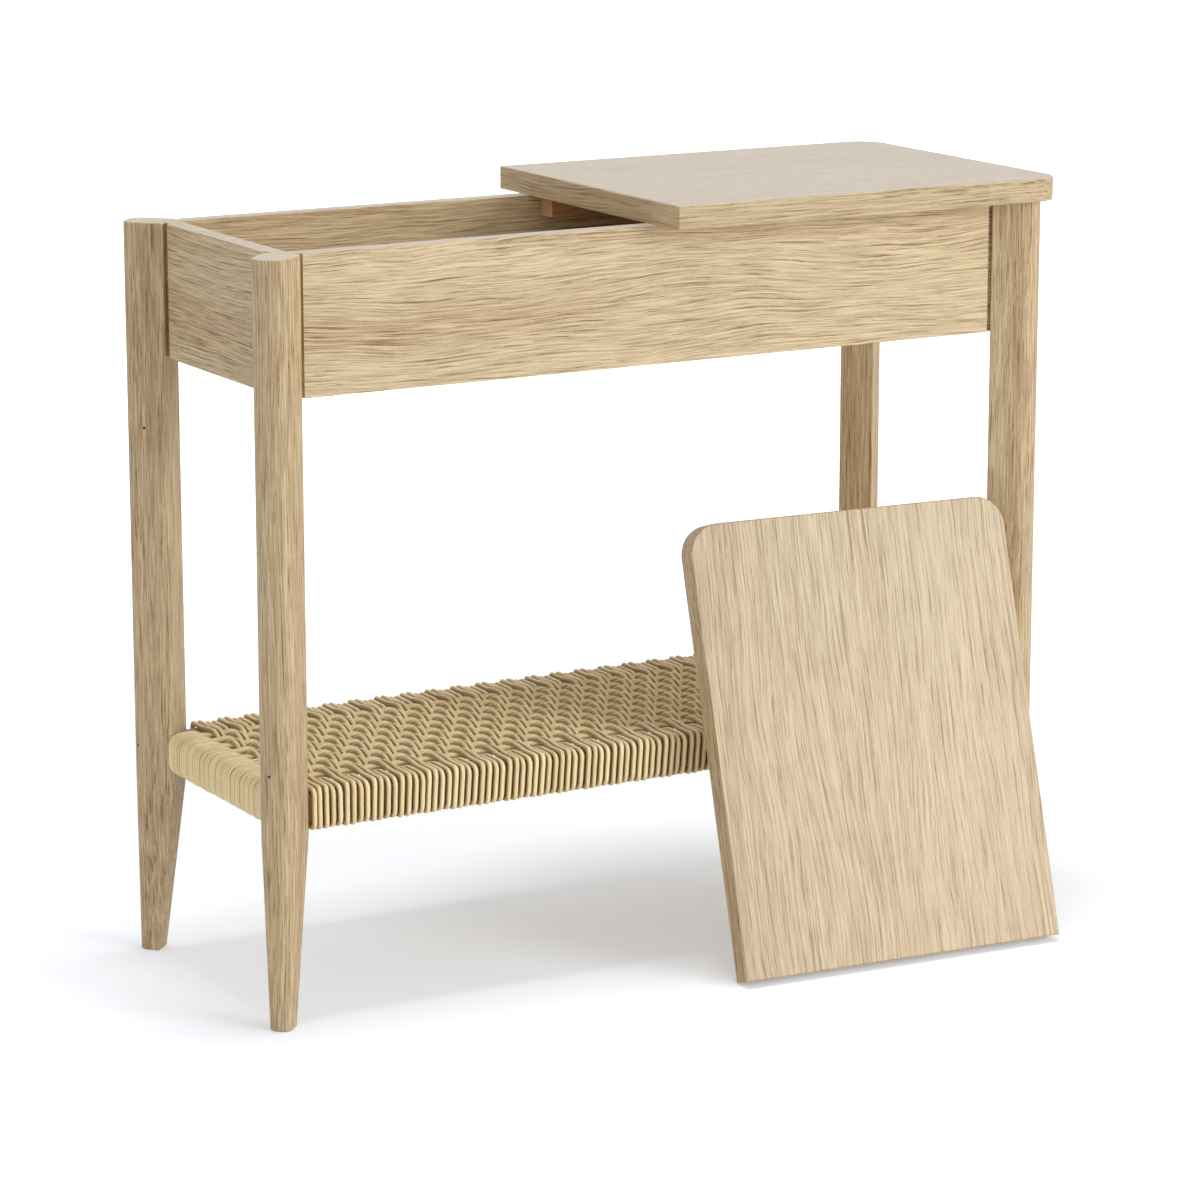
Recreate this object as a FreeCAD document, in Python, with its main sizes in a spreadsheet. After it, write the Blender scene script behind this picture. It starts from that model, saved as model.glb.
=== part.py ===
"""Lift-top end table: a slim oak storage table on four diagonal legs, with a woven cord shelf.

Frame: origin on the floor under the middle of the table, +X to its right, +Y to its back, +Z up.
Units are millimetres and degrees.  The right half of the top lies in place; the left half has
been lifted off and leans, long side up, against the front right leg.
"""
import FreeCAD, Part
import Sketcher

import math
import os

# ---------------------------------------------------------------- driving dimensions
SIZES = {
    # the whole table
    "table_length": 700,
    "table_depth": 278,
    "table_height": 590,
    # the two halves of the top
    "lid_thickness": 18,
    "lid_gap": 1,
    "lid_slide": 4,
    "lid_corner_radius": 24,
    "lid_edge_radius": 1.2,
    "end_overhang": 6,
    "side_overhang": 6.8,
    # legs turned 45 degrees in plan, tapered to a square foot on three facets below the shelf
    "leg_depth": 35,
    "leg_width": 28,
    "foot_side": 17,
    "taper_length": 143,
    "outer_tip_radius": 11,
    "foot_tip_radius": 7.5,
    "inner_tip_radius": 1.2,
    "leg_end_chamfer": 0.6,
    # the storage box
    "panel_height": 105,
    "end_panel_rise": 3,
    "panel_thickness": 15,
    "panel_inset": 3.5,
    "apron_groove": 3.3,
    "end_groove": 6.8,
    "groove_depth": 3,
    "floor_thickness": 6,
    "floor_rise": 8,
    "floor_groove_depth": 5,
    "floor_slack": 0.3,
    # corner blocks and the bolts that draw each leg onto the box
    "block_leg_length": 32,
    "block_nose": 5,
    "block_height": 66,
    "bolt_diameter": 6,
    "bolt_depth": 22,
    "bolt_clearance": 0.5,
    "bolt_margin": 16,
    "bolt_end": 2,
    "nut_width": 10,
    "nut_height": 5,
    "washer_diameter": 16,
    "washer_thickness": 1.5,
    # locating battens under each half of the top
    "batten_width": 18,
    "batten_height": 16,
    "batten_setback": 10,
    "batten_clearance": 1,
    "screw_diameter": 4,
    "screw_head": 8,
    "screw_grip": 10,
    "screw_margin": 25,
    # the corded shelf
    "shelf_top": 178,
    "shelf_height": 33,
    "shelf_proud": 3.5,
    "rail_depth": 22,
    "rail_chamfer": 3,
    "cord_diameter": 4,
    "cord_leg_gap": 0.5,
    "deck_thickness": 9,
    "shelf_screw_diameter": 4.5,
    "shelf_screw_head": 8,
    "shelf_screw_head_height": 3,
    "shelf_screw_depth": 24,
    "shelf_screw_recess": 6,
    "shelf_screw_spacing": 12,
    # the half of the top that leans against the front right leg
    "lean_angle": 16.85,
    "lean_turn": 3.4,
    "lean_from_tip": 2.5,
    "lean_clearance": 0.4,
}

# ---------------------------------------------------------------- sizes worked out from them
PLACES = {
    # from a leg's middle, along the table's sides: how far its tips reach, how far inwards its
    # inner tips lie, and where the plane of its inner facet crosses the plane of the leg middles
    "leg_reach": "(sizes.leg_depth + sizes.leg_width) / sqrt(8)",
    "leg_skew": "(sizes.leg_depth - sizes.leg_width) / sqrt(8)",
    "leg_facet": "sizes.leg_depth / sqrt(2)",
    "leg_x": "sizes.table_length / 2 - sizes.end_overhang - leg_reach",
    "leg_y": "sizes.table_depth / 2 - sizes.side_overhang - leg_reach",
    "leg_height": "sizes.table_height - sizes.lid_thickness",
    "panel_bottom": "leg_height - sizes.panel_height",
    "panel_inner": "sizes.panel_inset + sizes.panel_thickness",
    "groove_foot": "sizes.panel_inset + sizes.groove_depth",
    "box_x": "leg_x - panel_inner",
    "box_y": "leg_y - panel_inner",
    "floor_bottom": "panel_bottom + sizes.floor_rise",
    "floor_top": "floor_bottom + sizes.floor_thickness",
    # distances from a leg's middle along the diagonal towards the middle of the table
    "box_corner": "panel_inner * sqrt(2)",
    "block_face": "box_corner + sizes.block_leg_length / sqrt(2)",
    "block_nose_face": "box_corner + sizes.block_nose / sqrt(2)",
    "washer_face": "block_face + sizes.washer_thickness",
    "nut_face": "washer_face + sizes.nut_height",
    "bolt_tip": "sizes.leg_depth / 2 - sizes.bolt_depth",
    "bolt_length": "nut_face + sizes.bolt_end - bolt_tip",
    "bolt_hole": "sizes.bolt_diameter + sizes.bolt_clearance",
    "bolt_low": "floor_top + sizes.bolt_margin",
    "bolt_high": "floor_top + sizes.block_height - sizes.bolt_margin",
    # the top
    "lid_length": "(sizes.table_length - sizes.lid_gap) / 2",
    "batten_outer": "box_y - sizes.batten_clearance",
    "batten_end": "box_x - sizes.batten_clearance - sizes.lid_gap / 2",
    "screw_length": "sizes.batten_height + sizes.screw_grip",
    "screw_head_height": "(sizes.screw_head - sizes.screw_diameter) / 2",
    # the shelf
    "shelf_bottom": "sizes.shelf_top - sizes.shelf_height",
    "rail_outer": "sizes.cord_diameter - sizes.shelf_proud",
    "rail_inner": "rail_outer + sizes.rail_depth",
    "rail_bottom": "shelf_bottom + sizes.cord_diameter",
    "rail_height": "sizes.shelf_height - 2 * sizes.cord_diameter",
    "wrap_inner": "rail_inner + sizes.cord_diameter",
    "wrap_start": "leg_reach + sizes.cord_leg_gap",
    "wrap_facet": "leg_facet + sizes.cord_leg_gap * sqrt(2)",
    "wrap_chamfer": "sizes.rail_chamfer + sizes.cord_diameter * (2 - sqrt(2))",
    "deck_x": "leg_x - wrap_inner",
    "deck_y": "leg_y - wrap_inner",
    "shelf_screw_seat": "rail_inner * sqrt(2) - sizes.shelf_screw_recess",
    "shelf_screw_tip": "sizes.leg_depth / 2 - sizes.shelf_screw_depth",
    "shelf_middle": "rail_bottom + rail_height / 2",
    "shelf_screw_low": "shelf_middle - sizes.shelf_screw_spacing / 2",
    "shelf_screw_high": "shelf_middle + sizes.shelf_screw_spacing / 2",
    # the leaning half: where its rounded corner meets the front left facet of the front right leg
    "lean_sin": "sin(sizes.lean_angle * 1deg)",
    "turn_cos": "cos(sizes.lean_turn * 1deg)",
    "turn_sin": "-sin(sizes.lean_turn * 1deg)",
    "press_across": "(turn_cos + turn_sin) / sqrt(2)",
    "press_up": "lean_sin * (turn_cos - turn_sin) / sqrt(2)",
    "press_reach": "sizes.lid_corner_radius / sqrt(press_across ^ 2 + press_up ^ 2)",
    "touch_x": "leg_x - leg_reach + sizes.lean_from_tip - sizes.lean_clearance / sqrt(2)",
    "touch_y": "leg_skew - leg_y - sizes.lean_from_tip - sizes.lean_clearance / sqrt(2)",
    "touch_across": "sizes.table_depth / 2 - sizes.lid_corner_radius + press_reach * press_across",
    "touch_up": "lid_length - sizes.lid_corner_radius + press_reach * press_up",
    "lean_x": "touch_x - touch_across * turn_cos + touch_up * lean_sin * turn_sin",
    "lean_y": "touch_y - touch_across * turn_sin - touch_up * lean_sin * turn_cos",
}

# corner name: its side in X, its side in Y, and the bearing from it to the middle of the table
CORNERS = {
    "front_left": (-1, -1, 45),
    "front_right": (1, -1, 135),
    "back_left": (-1, 1, -45),
    "back_right": (1, 1, -135),
}

# side name: its side in X, its side in Y, the turn that makes local +Y point inwards, and the
# value that holds its distance between leg middles
SIDES = {
    "front": (0, -1, 0, "leg_x"),
    "back": (0, 1, 180, "leg_x"),
    "left": (-1, 0, -90, "leg_y"),
    "right": (1, 0, 90, "leg_y"),
}

# the half that lies in place has slid towards the open half
LID_IN_PLACE = (
    "placement(vector(sizes.lid_gap / 2 - sizes.lid_slide; 0; places.leg_height); rotation(0; 0; 0))"
)
LID_LEANING = (
    "placement(vector(places.lean_x; places.lean_y; 0);"
    " rotation(90 - sizes.lean_turn; sizes.lean_angle - 90; 0))"
)
LIDS = {"right": LID_IN_PLACE, "left": LID_LEANING}

# how close to a height an edge's ends must lie to count as on it
LEVEL_TOLERANCE = 0.01

doc = FreeCAD.newDocument("lift_top_end_table")
sizes = doc.addObject("Spreadsheet::Sheet", "sizes")
for row, (alias, number) in enumerate(SIZES.items(), start=1):
    sizes.set(f"A{row}", alias)
    sizes.set(f"B{row}", str(number))
    sizes.setAlias(f"B{row}", alias)
doc.recompute()
places = doc.addObject("Spreadsheet::Sheet", "places")
for row, (alias, formula) in enumerate(PLACES.items(), start=1):
    places.set(f"A{row}", alias)
    places.set(f"B{row}", f"={formula}")
    places.setAlias(f"B{row}", alias)
doc.recompute()


# ---------------------------------------------------------------- helpers
def value(expression):
    """The number that an expression gives, as a plain float."""
    result = sizes.evalExpression(expression)
    return float(getattr(result, "Value", result))


def origin_plane(body, role):
    return next(item for item in body.Origin.OriginFeatures if item.Role == role)


def corner_arc(start, end, radius):
    """The arc of an outline that runs counter-clockwise from start to end round a convex corner."""
    chord = end - start
    bulge = radius - math.sqrt(radius**2 - (chord.Length / 2) ** 2)
    outwards = FreeCAD.Vector(chord.y, -chord.x, 0).normalize()
    return Part.Arc(start, (start + end) / 2 + outwards * bulge, end)


def outline(body, name, points, plane="XY_Plane", height="0"):
    """A closed sketch through points, each a pair of expressions or, where an arc leaves it for the
    next point, three with the arc's radius last."""
    sketch = body.newObject("Sketcher::SketchObject", name)
    sketch.AttachmentSupport = [(origin_plane(body, plane), "")]
    sketch.MapMode = "FlatFace"
    sketch.setExpression("AttachmentOffset.Base.z", height)
    spots = [FreeCAD.Vector(value(point[0]), value(point[1]), 0) for point in points]
    for index, point in enumerate(points):
        start = spots[index]
        end = spots[(index + 1) % len(spots)]
        if len(point) == 3:
            sketch.addGeometry(corner_arc(start, end, value(point[2])))
        else:
            sketch.addGeometry(Part.LineSegment(start, end))
    for index in range(len(points)):
        following = (index + 1) % len(points)
        sketch.addConstraint(Sketcher.Constraint("Coincident", index, 2, following, 1))
    for index, point in enumerate(points):
        for direction, expression in (("DistanceX", point[0]), ("DistanceY", point[1])):
            distance = Sketcher.Constraint(direction, -1, 1, index, 1, value(expression))
            sketch.setExpression(f"Constraints[{sketch.addConstraint(distance)}]", expression)
        if len(point) == 3:
            radius = Sketcher.Constraint("Radius", index, value(point[2]))
            sketch.setExpression(f"Constraints[{sketch.addConstraint(radius)}]", point[2])
    return sketch


def rounded_rectangle(left, right, half_width, left_radius, right_radius):
    """The counter-clockwise points of a rectangle along X with its own corner radius at each end."""
    low = f"-({half_width})"
    high = f"({half_width})"
    return [
        (f"{left} + {left_radius}", low),
        (f"{right} - {right_radius}", low, right_radius),
        (right, f"{low} + {right_radius}"),
        (right, f"{high} - {right_radius}", right_radius),
        (f"{right} - {right_radius}", high),
        (f"{left} + {left_radius}", high, left_radius),
        (left, f"{high} - {left_radius}"),
        (left, f"{low} + {left_radius}", left_radius),
    ]


def pad(body, sketch, length):
    feature = body.newObject("PartDesign::Pad", "Pad")
    feature.Profile = sketch
    feature.setExpression("Length", length)
    doc.recompute()
    return feature


def edges_where(shape, test):
    """The names of the edges whose every vertex passes the test."""
    return [
        f"Edge{number}"
        for number, edge in enumerate(shape.Edges, start=1)
        if all(test(vertex.Point) for vertex in edge.Vertexes)
    ]


def soften(body, kind, size_property, size, test):
    """Chamfer or fillet the body's edges that pass the test."""
    feature = body.newObject(f"PartDesign::{kind}", kind)
    base = body.Group[-2]
    feature.Base = (base, edges_where(base.Shape, test))
    feature.setExpression(size_property, size)
    doc.recompute()
    return feature


def at_height(height):
    return lambda point: abs(point.z - height) < LEVEL_TOLERANCE


def place(item, expression):
    item.setExpression("Placement", expression)
    return item


def corner_placement(corner, height="0"):
    """A leg's own frame: its middle at the origin and +X towards the middle of the table."""
    side_x, side_y, bearing = CORNERS[corner]
    spot = f"vector({side_x} * places.leg_x; {side_y} * places.leg_y; {height})"
    return f"placement({spot}; rotation({bearing}; 0; 0))"


def side_placement(side, height):
    """A panel's own frame: X along it, Y = 0 in the plane of the leg middles and +Y inwards."""
    side_x, side_y, turn, _ = SIDES[side]
    spot = f"vector({side_x} * places.leg_x; {side_y} * places.leg_y; {height})"
    return f"placement({spot}; rotation({turn}; 0; 0))"


def round_bar(name, radius, length, placement):
    bar = doc.addObject("Part::Cylinder", name)
    bar.setExpression("Radius", radius)
    bar.setExpression("Height", length)
    return place(bar, placement)


def diagonal_bar(name, corner, height, start, diameter, length):
    """A round bar on a leg's diagonal, from start mm inwards of the leg's middle."""
    lying = f"placement(vector({start}; 0; {height}); rotation(0; 90; 0))"
    return round_bar(name, f"({diameter}) / 2", length, f"{corner_placement(corner)} * {lying}")


def fused(name, pieces):
    group = doc.addObject("Part::MultiFuse", name)
    group.Shapes = pieces
    group.Refine = False
    return group


def drilled(name, base, tool):
    cut = doc.addObject("Part::Cut", name)
    cut.Base = base
    cut.Tool = tool
    cut.Refine = False
    return cut


nodes = {}


def node(name, item):
    """Keep an object as a sub-part under the name of its file."""
    item.Label = name
    nodes[name] = item
    return item


# ---------------------------------------------------------------- holes and fasteners on the diagonals
def diagonal_group(name, heights, start, diameter, length):
    """One bar at each height on each leg's diagonal, as one object."""
    bars = [
        diagonal_bar(f"{name}_{corner}_{index}", corner, height, start, diameter, length)
        for corner in CORNERS
        for index, height in enumerate(heights, start=1)
    ]
    return fused(name, bars)


BOLT_HEIGHTS = ("places.bolt_low", "places.bolt_high")
SHELF_SCREW_HEIGHTS = ("places.shelf_screw_low", "places.shelf_screw_high")

bolts = diagonal_group(
    "leg_bolts", BOLT_HEIGHTS, "places.bolt_tip", "sizes.bolt_diameter", "places.bolt_length"
)
bolt_holes = diagonal_group(
    "bolt_holes", BOLT_HEIGHTS, "sizes.leg_depth / 2", "places.bolt_hole", "places.bolt_length"
)
shelf_screw_shanks = diagonal_group(
    "shelf_screw_shanks",
    SHELF_SCREW_HEIGHTS,
    "places.shelf_screw_tip",
    "sizes.shelf_screw_diameter",
    "places.shelf_screw_seat - places.shelf_screw_tip",
)
shelf_screw_heads = diagonal_group(
    "shelf_screw_heads",
    SHELF_SCREW_HEIGHTS,
    "places.shelf_screw_seat",
    "sizes.shelf_screw_head",
    "sizes.shelf_screw_head_height",
)
shelf_screw_recesses = diagonal_group(
    "shelf_screw_recesses",
    SHELF_SCREW_HEIGHTS,
    "places.shelf_screw_seat",
    "sizes.shelf_screw_head",
    "2 * sizes.shelf_screw_recess",
)
shelf_screws = node("shelf_frame_screws", fused("shelf_screws", [shelf_screw_shanks, shelf_screw_heads]))
shelf_holes = fused("shelf_holes", [shelf_screw_shanks, shelf_screw_recesses])
node("leg_bolts", bolts)


# ---------------------------------------------------------------- legs
def leg_section(body, name, depth, width, outer_radius, height):
    """A leg's section: its outer facet keeps its place as the section shrinks."""
    outer = "-sizes.leg_depth / 2"
    points = rounded_rectangle(
        outer, f"({outer} + {depth})", f"{width} / 2", outer_radius, "sizes.inner_tip_radius"
    )
    return outline(body, name, points, height=height)


def make_leg(corner):
    body = doc.addObject("PartDesign::Body", f"leg_{corner}_body")
    foot = leg_section(
        body, "FootSection", "sizes.foot_side", "sizes.foot_side", "sizes.foot_tip_radius", "0"
    )
    full = leg_section(
        body,
        "FullSection",
        "sizes.leg_depth",
        "sizes.leg_width",
        "sizes.outer_tip_radius",
        "sizes.taper_length",
    )
    doc.recompute()
    taper = body.newObject("PartDesign::AdditiveLoft", "Taper")
    taper.Profile = foot
    taper.Sections = [full]
    taper.Ruled = True
    doc.recompute()
    pad(body, full, "places.leg_height - sizes.taper_length")
    soften(body, "Chamfer", "Size", "sizes.leg_end_chamfer", at_height(value("places.leg_height")))
    soften(body, "Chamfer", "Size", "sizes.leg_end_chamfer", at_height(0))
    place(body, corner_placement(corner))
    return body


# Each leg has two blind holes for the bolts and two for the shelf screws, all on its diagonal.
leg_holes = fused("leg_holes", [bolts, shelf_holes])
for corner in CORNERS:
    node(f"leg_{corner}", drilled(f"leg_{corner}", make_leg(corner), leg_holes))


# ---------------------------------------------------------------- storage box
def mitred_end(outer, inner, groove_width=None):
    """Half of a board's plan: (inwards from the leg's middle along the board, across the board).

    The end lies on the leg's inner facet as far as the diagonal and is mitred beyond it.  A groove
    rebates the board's outer face beside the leg.
    """
    points = [(f"places.leg_facet - {outer}", outer)]
    if groove_width:
        groove_side = f"places.leg_facet - {outer} + {groove_width}"
        points = [
            (groove_side, outer),
            (groove_side, "places.groove_foot"),
            ("places.leg_facet - places.groove_foot", "places.groove_foot"),
        ]
    points.append(("places.leg_facet / 2", "places.leg_facet / 2"))
    points.append((inner, inner))
    return points


def board_outline(body, half_span, end):
    """The whole plan of a board, counter-clockwise, from the plan of one end."""
    right = [(f"{half_span} - ({along})", across) for along, across in end]
    left = [(f"({along}) - {half_span}", across) for along, across in reversed(end)]
    return outline(body, "Plan", right + left)


# side name: the width of the groove beside each leg, and how far the board's lower edge is raised
PANEL_SHAPES = {
    "front": ("sizes.apron_groove", "0"),
    "back": ("sizes.apron_groove", "0"),
    "left": ("sizes.end_groove", "sizes.end_panel_rise"),
    "right": ("sizes.end_groove", "sizes.end_panel_rise"),
}


def make_panel(side):
    half_span = f"places.{SIDES[side][3]}"
    groove_width, rise = PANEL_SHAPES[side]
    groove_low = f"sizes.floor_rise - {rise}"
    groove_high = f"{groove_low} + sizes.floor_thickness + sizes.floor_slack"
    body = doc.addObject("PartDesign::Body", f"{side}_panel_body")
    end = mitred_end("sizes.panel_inset", "places.panel_inner", groove_width)
    pad(body, board_outline(body, half_span, end), f"sizes.panel_height - {rise}")
    groove = outline(
        body,
        "FloorGroove",
        [
            ("places.panel_inner - sizes.floor_groove_depth", groove_low),
            ("places.panel_inner + sizes.floor_groove_depth", groove_low),
            ("places.panel_inner + sizes.floor_groove_depth", groove_high),
            ("places.panel_inner - sizes.floor_groove_depth", groove_high),
        ],
        plane="YZ_Plane",
        height=f"-{half_span}",
    )
    doc.recompute()
    pocket = body.newObject("PartDesign::Pocket", "FloorGrooveCut")
    pocket.Profile = groove
    pocket.Type = "ThroughAll"
    pocket.Reversed = True
    doc.recompute()
    place(body, side_placement(side, f"places.panel_bottom + {rise}"))
    return body


PANEL_NAMES = {
    "front": "front_apron",
    "back": "back_apron",
    "left": "left_end_panel",
    "right": "right_end_panel",
}
for side, name in PANEL_NAMES.items():
    node(name, drilled(name, make_panel(side), bolt_holes))

storage_floor = doc.addObject("Part::Box", "storage_floor")
FLOOR_X = "(places.box_x + sizes.floor_groove_depth - sizes.floor_slack)"
FLOOR_Y = "(places.box_y + sizes.floor_groove_depth - sizes.floor_slack)"
storage_floor.setExpression("Length", f"2 * {FLOOR_X}")
storage_floor.setExpression("Width", f"2 * {FLOOR_Y}")
storage_floor.setExpression("Height", "sizes.floor_thickness")
place(
    storage_floor,
    f"placement(vector(-{FLOOR_X}; -{FLOOR_Y}; places.floor_bottom); rotation(0; 0; 0))",
)
node("storage_floor", storage_floor)


def make_block(corner):
    """A glue block in the corner of the box, its nose cut off where the panels meet."""
    body = doc.addObject("PartDesign::Body", f"block_{corner}_body")
    nose = "sizes.block_nose / sqrt(2)"
    width = "sizes.block_leg_length / sqrt(2)"
    plan = outline(
        body,
        "Plan",
        [
            ("places.block_nose_face", f"-{nose}"),
            ("places.block_face", f"-{width}"),
            ("places.block_face", width),
            ("places.block_nose_face", nose),
        ],
    )
    pad(body, plan, "sizes.block_height")
    place(body, corner_placement(corner, "places.floor_top"))
    return body


for corner in CORNERS:
    name = f"corner_block_{corner}"
    node(name, drilled(name, make_block(corner), bolt_holes))

washers = diagonal_group(
    "washer_discs", BOLT_HEIGHTS, "places.block_face", "sizes.washer_diameter", "sizes.washer_thickness"
)
node("bolt_washers", drilled("bolt_washers", washers, bolt_holes))


def make_nut(corner, height):
    prism = doc.addObject("Part::Prism", f"nut_{corner}")
    prism.Polygon = 6
    prism.setExpression("Circumradius", "sizes.nut_width / sqrt(3)")
    prism.setExpression("Height", "sizes.nut_height")
    lying = f"placement(vector(places.washer_face; 0; {height}); rotation(0; 90; 0))"
    return place(prism, f"{corner_placement(corner)} * {lying}")


nuts = fused("nut_prisms", [make_nut(corner, height) for corner in CORNERS for height in BOLT_HEIGHTS])
node("bolt_nuts", drilled("bolt_nuts", nuts, bolts))


# ---------------------------------------------------------------- the two halves of the top
def make_screw(name, along, across, lid_placement):
    """A countersunk screw driven up through a batten into the top."""
    foot = f"vector({along}; {across}; -sizes.batten_height)"
    upright = f"{lid_placement} * placement({foot}; rotation(0; 0; 0))"
    shank = round_bar(f"{name}_shank", "sizes.screw_diameter / 2", "places.screw_length", upright)
    head = doc.addObject("Part::Cone", f"{name}_head")
    head.setExpression("Radius1", "sizes.screw_head / 2")
    head.setExpression("Radius2", "sizes.screw_diameter / 2")
    head.setExpression("Height", "places.screw_head_height")
    place(head, upright)
    return [shank, head]


def make_batten(name, near, far, lid_placement):
    """A batten along the lid, from near to far across it, under the lid's lower face."""
    body = doc.addObject("PartDesign::Body", f"{name}_body")
    plan = outline(
        body,
        "Plan",
        [
            ("sizes.batten_setback", near),
            ("places.batten_end", near),
            ("places.batten_end", far),
            ("sizes.batten_setback", far),
        ],
        height="-sizes.batten_height",
    )
    pad(body, plan, "sizes.batten_height")
    return place(body, lid_placement)


def make_lid_panel(name, lid_placement):
    body = doc.addObject("PartDesign::Body", f"{name}_body")
    points = [
        ("0", "-sizes.table_depth / 2"),
        ("places.lid_length - sizes.lid_corner_radius", "-sizes.table_depth / 2", "sizes.lid_corner_radius"),
        ("places.lid_length", "sizes.lid_corner_radius - sizes.table_depth / 2"),
        ("places.lid_length", "sizes.table_depth / 2 - sizes.lid_corner_radius", "sizes.lid_corner_radius"),
        ("places.lid_length - sizes.lid_corner_radius", "sizes.table_depth / 2"),
        ("0", "sizes.table_depth / 2"),
    ]
    pad(body, outline(body, "Plan", points), "sizes.lid_thickness")
    soften(body, "Fillet", "Radius", "sizes.lid_edge_radius", at_height(value("sizes.lid_thickness")))
    return place(body, lid_placement)


SCREW_PLACES = (
    "sizes.batten_setback + sizes.screw_margin",
    "(sizes.batten_setback + places.batten_end) / 2",
    "places.batten_end - sizes.screw_margin",
)
# batten name: the faces of the front and the back batten across the lid
BATTENS = {
    "front": ("-places.batten_outer", "sizes.batten_width - places.batten_outer"),
    "back": ("places.batten_outer - sizes.batten_width", "places.batten_outer"),
}
for half, lid_placement in LIDS.items():
    screw_pieces = []
    for batten, (near, far) in BATTENS.items():
        for index, along in enumerate(SCREW_PLACES, start=1):
            screw_name = f"{half}_{batten}_screw_{index}"
            screw_pieces += make_screw(screw_name, along, f"({near} + {far}) / 2", lid_placement)
    screws = node(f"{half}_lid_batten_screws", fused(f"{half}_lid_screws", screw_pieces))
    panel_name = f"{half}_lid_panel"
    node(panel_name, drilled(panel_name, make_lid_panel(panel_name, lid_placement), screws))
    for batten, (near, far) in BATTENS.items():
        batten_name = f"{half}_lid_{batten}_batten"
        blank = make_batten(batten_name, near, far, lid_placement)
        node(batten_name, drilled(batten_name, blank, screws))


# ---------------------------------------------------------------- corded shelf
def make_shelf_bar(name, side, end, bottom, height, chamfer):
    """A mitred bar of the shelf frame: a chamfered section along it, cut to the bar's plan."""
    half_span = f"places.{SIDES[side][3]}"
    outer = end[0][1]
    inner = end[-1][1]
    section = doc.addObject("PartDesign::Body", f"{name}_section")
    points = [
        (f"{outer} + {chamfer}", "0"),
        (f"{inner} - {chamfer}", "0"),
        (inner, chamfer),
        (inner, f"{height} - {chamfer}"),
        (f"{inner} - {chamfer}", height),
        (f"{outer} + {chamfer}", height),
        (outer, f"{height} - {chamfer}"),
        (outer, chamfer),
    ]
    profile = outline(section, "Section", points, plane="YZ_Plane", height=f"-{half_span}")
    pad(section, profile, f"2 * {half_span}")
    plan = doc.addObject("PartDesign::Body", f"{name}_plan")
    pad(plan, board_outline(plan, half_span, end), height)
    bar = doc.addObject("Part::Common", name)
    bar.Base = section
    bar.Tool = plan
    bar.Refine = False
    return place(bar, side_placement(side, bottom))


RAIL_END = mitred_end("places.rail_outer", "places.rail_inner")
WRAP_END = [
    ("places.wrap_start", "-sizes.shelf_proud"),
    ("places.wrap_start", "places.wrap_facet - places.wrap_start"),
    ("places.wrap_facet / 2", "places.wrap_facet / 2"),
    ("places.wrap_inner", "places.wrap_inner"),
]
for side in SIDES:
    rail = make_shelf_bar(
        f"{side}_rail", side, RAIL_END, "places.rail_bottom", "places.rail_height", "sizes.rail_chamfer"
    )
    wrap = make_shelf_bar(
        f"{side}_wrap", side, WRAP_END, "places.shelf_bottom", "sizes.shelf_height", "places.wrap_chamfer"
    )
    node(f"shelf_{side}_rail", drilled(f"shelf_{side}_rail", rail, shelf_holes))
    node(f"shelf_{side}_cord_wrap", drilled(f"shelf_{side}_cord_wrap", wrap, rail))

deck = doc.addObject("Part::Box", "shelf_woven_deck")
deck.setExpression("Length", "2 * places.deck_x")
deck.setExpression("Width", "2 * places.deck_y")
deck.setExpression("Height", "sizes.deck_thickness")
DECK_CORNER = "vector(-places.deck_x; -places.deck_y; sizes.shelf_top - sizes.deck_thickness)"
place(deck, f"placement({DECK_CORNER}; rotation(0; 0; 0))")
node("shelf_woven_deck", deck)

# ---------------------------------------------------------------- checks and files
doc.recompute()
for item in doc.Objects:
    if "Invalid" in item.State or "Error" in item.State:
        raise RuntimeError(f"{item.Label} did not rebuild: {item.State}")
os.makedirs("parts", exist_ok=True)
for name, item in nodes.items():
    if item.Shape.isNull() or not item.Shape.isValid() or not item.Shape.Solids:
        raise RuntimeError(f"{name} has no sound solid")
for name, item in nodes.items():
    item.Shape.exportStep(f"parts/{name}.step")
    print(f"{name}: {len(item.Shape.Solids)} solid(s), {item.Shape.Volume / 1000:.1f} cm3")
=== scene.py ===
"""Looks of the lift-top end table: pale oak, a woven paper cord shelf, a plain studio floor.

Units are metres in the part's own frame: the origin is on the floor under the table's middle,
+X runs to its right, +Y to its back and +Z up.  The woven shelf is laid out in millimetres, and
MM turns those into metres.
"""

import math
import random

import bpy
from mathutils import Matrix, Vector


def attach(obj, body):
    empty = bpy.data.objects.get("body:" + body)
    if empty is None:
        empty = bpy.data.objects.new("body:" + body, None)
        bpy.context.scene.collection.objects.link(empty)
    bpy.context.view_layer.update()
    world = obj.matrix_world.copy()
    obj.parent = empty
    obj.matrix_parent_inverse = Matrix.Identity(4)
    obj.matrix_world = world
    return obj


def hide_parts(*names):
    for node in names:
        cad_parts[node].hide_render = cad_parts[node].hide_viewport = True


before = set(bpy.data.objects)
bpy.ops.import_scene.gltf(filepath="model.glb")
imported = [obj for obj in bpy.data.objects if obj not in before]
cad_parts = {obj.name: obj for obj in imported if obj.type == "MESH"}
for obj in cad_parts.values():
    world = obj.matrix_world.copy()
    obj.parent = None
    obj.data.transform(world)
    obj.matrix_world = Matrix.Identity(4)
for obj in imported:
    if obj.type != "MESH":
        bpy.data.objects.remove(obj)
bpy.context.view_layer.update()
bpy.context.scene.view_settings.view_transform = "Standard"

MM = 0.001
X, Y, Z = (1, 0, 0), (0, 1, 0), (0, 0, 1)
SIDES = {"front": (0, -1), "back": (0, 1), "left": (-1, 0), "right": (1, 0)}
CORNERS = {"front_left": (-1, -1), "front_right": (1, -1), "back_left": (-1, 1), "back_right": (1, 1)}


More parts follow.
